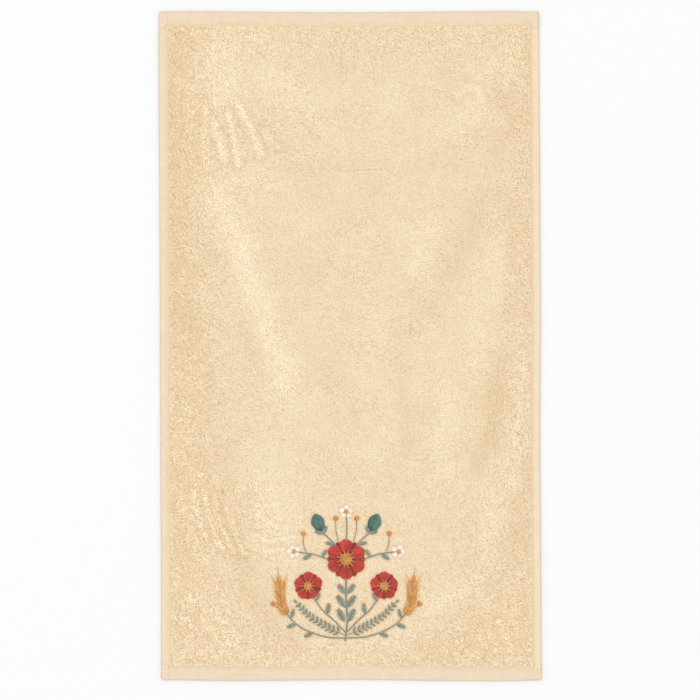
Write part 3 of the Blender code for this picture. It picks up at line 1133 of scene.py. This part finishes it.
def add_bud(threads, base, direction, rng):
    """A pointed bud with paler lines over its middle and two small leaves at its foot."""
    along, across = frame_of(direction)
    add_petal(threads["teal"], base, direction, *BUD, rng, 0.95, 1.1, 0.45)
    for offset in (-2.4, 0.0, 2.4):
        line = straight(base, along, 5.0, 17.0 - abs(offset)) + offset * across
        add_stitch(threads["teal"], line, 1.15, 0.25, 0.5, 1.0, 1.3)
    for side in (-1.0, 1.0):
        add_leaf(threads["green"], base - 1.5 * along, direction + side * 48.0, 10.0, 4.4, rng)


def add_sprig(thread, points, rng):
    """A thin twig with pairs of narrow leaves that grow smaller towards its end."""
    line = add_stem(thread, points, rng)
    for index in range(14, len(line) - 4, 10):
        heading = heading_of(line[index + 2] - line[index - 2])
        length = 8.0 - 3.5 * index / len(line)
        for side in (-46.0, 46.0):
            add_leaf(thread, line[index], heading + side + rng.uniform(-4.0, 4.0), length, 2.6, rng)
    add_leaf(thread, line[-1], heading, 5.0, 2.4, rng)


def embroider(threads, rng):
    """A spray of blossoms, buds, ears and leaves, alike on both sides of its middle."""
    green = threads["green"]

    def place(side, across, up):
        return np.array([SPRAY_X + side * across, SPRAY_FOOT + up])

    def way(side, *places):
        return [place(side, across, up) for across, up in places]

    add_stem(green, way(1, (-1, 0), (1.2, 22), (0, 44), (0, 68)), rng, 3)
    for side in (-1.0, 1.0):
        blossom, bud, flower = way(side, (40, 58), (25, 114), (55, 94))
        add_stem(green, [*way(side, (0.5, 9), (13, 22), (27, 35)), blossom], rng, 2)
        add_ear(threads, way(side, (0.5, 3), (24, 5), (50, 16), (66, 35), (70, 60)), 9, rng)
        add_sprig(green, way(side, (1, 6), (20, 15), (38, 26), (52, 40)), rng)
        add_stem(green, [*way(side, (6, 94), (15, 105)), bud], rng, 2)
        add_bud(threads, bud, 90.0 - side * 24.0, rng)
        add_stem(green, [*way(side, (14, 84), (34, 91)), flower], rng, 2)
        add_small_blossom(threads, flower, 90.0 - side * 15.0, rng)
        for across, up, direction, length in SPRAY_LEAVES:
            turned = 90 - side * (90 - direction)
            add_leaf(green, place(side, across, up), turned, length, 0.4 * length, rng)
        for across, up, end_across, end_up in SPRAY_TWIGS:
            bend = ((across + end_across) / 2 + 1.5, (up + end_up) / 2)
            add_stem(green, way(side, (across, up), bend, (end_across, end_up)), rng)
            add_berry(threads["orange"], place(side, end_across, end_up + 1.0), BERRY, rng)
        add_blossom(threads, blossom, SIDE_BLOSSOM, 5, rng)
    add_stem(green, way(1, (0, 104), (0.8, 118), (0, 134)), rng, 2)
    add_small_blossom(threads, place(1, 0, 136), 90.0, rng)
    add_blossom(threads, place(1, 0, 86), LARGE_BLOSSOM, 6, rng)


def add_hem_stitch(thread, x, y, above, rise, dip, width, shade):
    """One stitch over places on the hems. It returns its points."""
    x, y = np.broadcast_arrays(x, y)
    points = np.column_stack([*placed(x, y), front_height(x, y) + above])
    points[:, 2] += arch(LEAF_POINTS, rise, dip)
    add_thread(thread, points, width, shade)
    return points


def add_sewing(thread, rng):
    """The stitches that hold the corners' folds, and a fine seam along the hems' inner edges."""
    for x, bottom, top in CORNER_ROWS:
        for start in np.arange(bottom, top, CORNER_PITCH):
            y = start + np.linspace(0.0, 0.74 * CORNER_PITCH, LEAF_POINTS)
            across = x + rng.uniform(-0.15, 0.15) + np.linspace(0.0, 0.25, LEAF_POINTS)
            shade = rng.uniform(0.85, 1.05)
            hole = add_hem_stitch(thread, across, y, 0.05, 0.30, 0.35, 0.95, shade)[-1] + (0.0, 0.4, -0.5)
            # A short dark thread at the needle hole: painted shade of the hole
            add_thread(thread, np.linspace(hole, hole + (0.1, 0.5, 0.15), 3), 0.8, 0.1)
    side_x, end_y = WIDTH / 2 - SIDE_HEM + SEAM_INSET, LENGTH / 2 - END_HEM + SEAM_INSET
    stitch = np.linspace(0.0, 0.8 * SEAM_PITCH, LEAF_POINTS)
    for side in (-1.0, 1.0):
        seams = [(side * side_x, start + stitch) for start in np.arange(-end_y, end_y, SEAM_PITCH)]
        seams += [(start + stitch, side * end_y) for start in np.arange(-side_x, side_x, SEAM_PITCH)]
        for x, y in seams:
            add_hem_stitch(thread, x, y, 0.0, 0.20, 0.25, 0.45, rng.uniform(0.5, 0.9))


def make_embroidery():
    """The spray, one piece for each thread colour, and the sewing."""
    rng = np.random.default_rng(SEED + 1)
    threads = {name: Stitching() for name in THREAD_COLOURS}
    embroider(threads, rng)
    add_sewing(threads["cream"], rng)
    pieces = [threads[name].make_piece(f"{name}_thread", thread_material(name)) for name in threads]
    spray = [threads[name] for name in threads if name != "cream"]
    return pieces, spray


def covered_by(stitchings, x, y, reach):
    """Which places lie within this distance of the embroidery."""
    low = np.array([SPRAY_X - SPRAY_ROOM, SPRAY_FOOT - SPRAY_ROOM / 4])
    cells = np.zeros((2 * round(SPRAY_ROOM / COVER_CELL) + 1,) * 2, bool)
    points = np.concatenate([group[:, :2] for stitching in stitchings for group in stitching.points])
    index = np.round((points - low) / COVER_CELL).astype(int)
    span = math.ceil(reach / COVER_CELL)
    for step_x in range(-span, span + 1):
        for step_y in range(-span, span + 1):
            if math.hypot(step_x, step_y) * COVER_CELL <= reach:
                cells[index[:, 0] + step_x, index[:, 1] + step_y] = True
    at = np.round((np.column_stack([x, y]) - low) / COVER_CELL).astype(int)
    inside = (at >= 0).all(axis=1) & (at < len(cells)).all(axis=1)
    covered = np.zeros(len(x), bool)
    covered[inside] = cells[at[inside, 0], at[inside, 1]]
    return covered


# The pile

def painted_light_and_tone(x, y):
    """Painted light and shade of streaks, folds and ridges, plus clouds of tone; about 0 on average."""
    waver_x, waver_y = (STREAK_WAVER * smooth_noise(x, y, WAVER_LENGTH, seed) for seed in (31, 32))
    tone = STREAK_LIGHT_AND_SHADE * sum_of_paths(x + waver_x, y + waver_y, STREAKS)
    # Painted shade in the creases and painted light on the folds' ridges
    tone += FOLD_LIGHT_AND_SHADE * fold_height(x, y)
    wavered_x, wavered_y = x + RIDGE_WAVER * waver_x, y + RIDGE_WAVER * waver_y
    ridged = sum_of_paths(wavered_x, wavered_y, RIDGES, RIDGE_FLANK, RIDGE_SPREAD)
    # Painted light on the ridges' crests and painted shade on their flanks
    tone += RIDGE_LIGHT_AND_SHADE * ridged * (1.0 + RIDGE_BREAKS * smooth_noise(x, y, 6.0, 35))
    return tone + sum(amount * smooth_noise(x, y, size, seed) for amount, size, seed in TONE_CLOUDS)


def roughness(x, y):
    """How rough the pile is, from 0 where it is brushed flat to 1 where it stands."""
    rough = LEAST_ROUGH + sum_of_paths(x, y, ROUGH_PLACES) + 0.15 * smooth_noise(x, y, 26.0, 35)
    return np.clip(rough, 0.0, 1.0)


def by_roughness(pair, rough):
    """A value between the one for smooth pile and the one for rough pile."""
    return pair[0] + (pair[1] - pair[0]) * rough


def along_and_across(x, y):
    """Places measured along and across the nap, which bends from one part of the towel to the next."""
    bent_x, bent_y = x, y
    for amount, size, seed_x, seed_y in NAP_BENDS:
        bent_x = bent_x + amount * smooth_noise(x, y, size, seed_x)
        bent_y = bent_y + amount * smooth_noise(x, y, size, seed_y)
    turn = math.radians(NAP_DIRECTION)
    along = bent_x * math.cos(turn) + bent_y * math.sin(turn)
    across = bent_y * math.cos(turn) - bent_x * math.sin(turn)
    return along, across


def grain(x, y):
    """Streaky noise from -1 to 1 along the nap: the tufts cling together in strokes."""
    along, across = along_and_across(x, y)
    return smooth_noise(along / GRAIN_LENGTH, across / GRAIN_WIDTH, 1.0, 76)


def gaps_between(x, y):
    """1 in the thin gaps between the strokes and 0 beside them."""
    return np.clip(1.0 - np.abs(grain(x, y)) / GAP_WIDTH, 0.0, 1.0)


def grain_way(x, y):
    """The direction of the nap at each place, as a vector of length 1."""
    step = 0.5
    _, here = along_and_across(x, y)
    slope_x = along_and_across(x + step, y)[1] - here
    slope_y = along_and_across(x, y + step)[1] - here
    steepness = np.hypot(slope_x, slope_y) + 1e-9
    return slope_y / steepness, -slope_x / steepness


def nap(x, y, rough, rng):
    """The way each tuft leans, as a vector: long where the pile is brushed flat."""
    lean = []
    for part, seed in zip(grain_way(x, y), (50, 60)):
        layers = enumerate(CLUMPS, start=seed)
        clump = sum(amount * smooth_noise(x, y, size, number) for number, (amount, size) in layers)
        part = by_roughness(LEAN_ALONG, rough) * part + by_roughness(LEAN_CLUMPED, rough) * clump
        lean.append(part + rng.normal(0.0, OWN_LEAN, len(x)))
    return lean


def tuft_roots(rng):
    """Places of the tufts on the plain rectangle: a jittered grid up to the hems' inner edges."""
    half_width = WIDTH / 2 - SIDE_HEM - SIDE_INSET
    half_length = LENGTH / 2 - END_HEM - END_INSET
    columns = np.linspace(-half_width, half_width, round(2 * half_width / TUFT_PITCH))
    rows = np.linspace(-half_length, half_length, round(2 * half_length / TUFT_PITCH))
    x, y = np.meshgrid(columns, rows)
    x = x.ravel() + rng.uniform(-TUFT_JITTER, TUFT_JITTER, x.size)
    y = y.ravel() + rng.uniform(-TUFT_JITTER, TUFT_JITTER, y.size)
    return x, y


def tuft_heights(x, y, rough, rng):
    """Heights of each tuft's foot and of its tip, which is lower in the gaps and beside the hems."""
    top = field_height(x, y) + 0.06 * rough * smooth_noise(x, y, 4.0, 36)
    top -= by_roughness(GAP_DEPTH, rough) * gaps_between(x, y)
    share = np.clip(pile_share(x, y) + EDGE_RISE, 0.0, 1.0)
    ground = front_height(x, y) - ROOT_SUNK
    shorter = rng.uniform(0.0, 1.0, len(x)) * by_roughness(SHORTER, rough)
    return ground, ground + (top - ground) * share * (1.0 - shorter)


def tuft_points(x, y, rng):
    """Four points of each tuft: the root, one on each side and the tip. A ridge runs to the tip."""
    rough = roughness(x, y)
    lean_x, lean_y = nap(x, y, rough, rng)
    lean = np.hypot(lean_x, lean_y)
    way_x, way_y = lean_x / lean, lean_y / lean
    reach = TUFT_REACH * np.clip(lean, LEAST_LEAN, MOST_LEAN) * rng.uniform(0.8, 1.2, len(x))
    ground, tip_height = tuft_heights(x, y, rough, rng)
    half_width = TUFT_HALF_WIDTH * rng.uniform(0.8, 1.2, len(x))
    root_x, root_y = placed(x - ROOT_BACK * way_x * reach, y - ROOT_BACK * way_y * reach)
    points = np.empty((len(x), 4, 3))
    points[:, 0] = np.stack([root_x, root_y, ground + ROOT_RISE * (tip_height - ground)], axis=1)
    middle_height = ground + WIDEST_RISE * (tip_height - ground) - by_roughness(TUFT_RIDGE, rough)
    for number, side in ((1, half_width), (2, -half_width)):
        points[:, number, 0] = root_x + WIDEST_PLACE * reach * way_x - side * way_y
        points[:, number, 1] = root_y + WIDEST_PLACE * reach * way_y + side * way_x
        points[:, number, 2] = middle_height
    points[:, 3, 0] = root_x + reach * way_x
    points[:, 3, 1] = root_y + reach * way_y
    points[:, 3, 2] = tip_height
    return points


# A tuft's four faces, and for its root, two sides and tip the share along it and the side
TUFT_FACES = np.array([(0, 3, 1), (0, 2, 3), (0, 1, 2), (3, 2, 1)])
TUFT_TIPS = np.array([0.0, 0.35, 0.35, 1.0])
TUFT_SIDES = np.array([0.0, 1.0, -1.0, 0.0])


def make_pile_band(number, points, tone, material):
    """One piece of joined tufts. On its map each tuft lies at its tone, from root to tip."""
    count = len(points)
    faces = (np.arange(count)[:, None, None] * 4 + TUFT_FACES).reshape(-1, 3)
    mesh = make_mesh(f"pile_band_{number}", points.reshape(-1, 3), [faces], smooth=False)
    set_attribute(mesh, "tone", np.repeat(tone, 4))
    set_attribute(mesh, "tip", np.tile(TUFT_TIPS, count))
    across = 0.05 + 0.9 * tone[:, None] + BAKE_HALF_WIDTH * TUFT_SIDES
    slot = (np.arange(count) % BAKE_SLOTS)[:, None]
    along = (slot + 0.1 + 0.8 * TUFT_TIPS) / BAKE_SLOTS
    places = np.stack([across, along], axis=2)[:, TUFT_FACES]
    set_bake_map(mesh, places)
    return add_piece(mesh.name, mesh, material)


def make_pile(embroidery):
    """All the tufts but those under the embroidery, in bands from one end to the other."""
    rng = np.random.default_rng(SEED)
    material = pile_material()
    x, y = tuft_roots(rng)
    points = tuft_points(x, y, rng)
    middle = points[:, 1:3].mean(axis=1)
    under = [covered_by(embroidery, place[:, 0], place[:, 1], COVER_REACH)
             for place in (points[:, 0], middle, points[:, 3])]
    free = ~np.any(under, axis=0)
    x, y, points = x[free], y[free], points[free]
    rough = roughness(x, y)
    # The tone carries the painted light and shade of the streaks, folds and ridges, and clouds of tone
    tone = by_roughness(PILE_TONE, rough) + painted_light_and_tone(x, y)
    # Painted shade: darker in the gaps between strokes, and on some tufts at random for the shaded specks
    tone -= by_roughness(GAP_PAINTED_SHADE, rough) * gaps_between(x, y)
    tone -= by_roughness(TUFT_PAINTED_SHADE, rough) * rng.exponential(1.0, len(x))
    tone = np.clip(tone, 0.0, 1.0)
    bands = np.array_split(np.arange(len(x)), PILE_BANDS)
    return [make_pile_band(number, points[band], tone[band], material)
            for number, band in enumerate(bands, start=1)]


# Camera, light and floor

def make_camera():
    data = bpy.data.cameras.new("camera")
    data.lens = LENS
    data.sensor_width = SENSOR
    camera = bpy.data.objects.new("camera", data)
    bpy.context.scene.collection.objects.link(camera)
    distance = FRAME_POINTS * POINT_SIZE * LENS / SENSOR
    camera.location = (0.0, FRAME_CENTRE_Y * MM, (distance + PILE_THICK) * MM)
    bpy.context.scene.camera = camera


def make_light():
    world = bpy.data.worlds.new("studio")
    world.use_nodes = True
    background = world.node_tree.nodes["Background"]
    background.inputs["Color"].default_value = (1.0, 1.0, 1.0, 1.0)
    background.inputs["Strength"].default_value = WORLD_STRENGTH
    bpy.context.scene.world = world
    data = bpy.data.lights.new("soft_box", "AREA")
    data.size = SOFT_BOX_SIZE
    data.energy = SOFT_BOX_POWER
    soft_box = bpy.data.objects.new("soft_box", data)
    soft_box.location = SOFT_BOX_PLACE
    soft_box.rotation_euler = Vector(soft_box.location).to_track_quat("Z", "Y").to_euler()
    bpy.context.scene.collection.objects.link(soft_box)


def make_floor():
    corners = ((-1, -1), (1, -1), (1, 1), (-1, 1))
    points = np.array([(x * FLOOR_HALF, y * FLOOR_HALF, FLOOR_HEIGHT) for x, y in corners])
    mesh = make_mesh("floor", points, [np.array([(0, 1, 2, 3)])])
    material, shader = new_material("floor", 0.9, 0.0)
    shader.inputs["Base Color"].default_value = (*FLOOR_COLOUR, 1.0)
    mesh.materials.append(material)
    floor = bpy.data.objects.new("floor", mesh)
    bpy.context.scene.collection.objects.link(floor)


def main():
    bpy.context.scene.view_settings.view_transform = "Standard"
    make_camera()
    make_light()
    make_floor()
    cloth = make_cloth()
    sewn, spray = make_embroidery()
    pile = make_pile(spray)
    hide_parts("towel")


main()
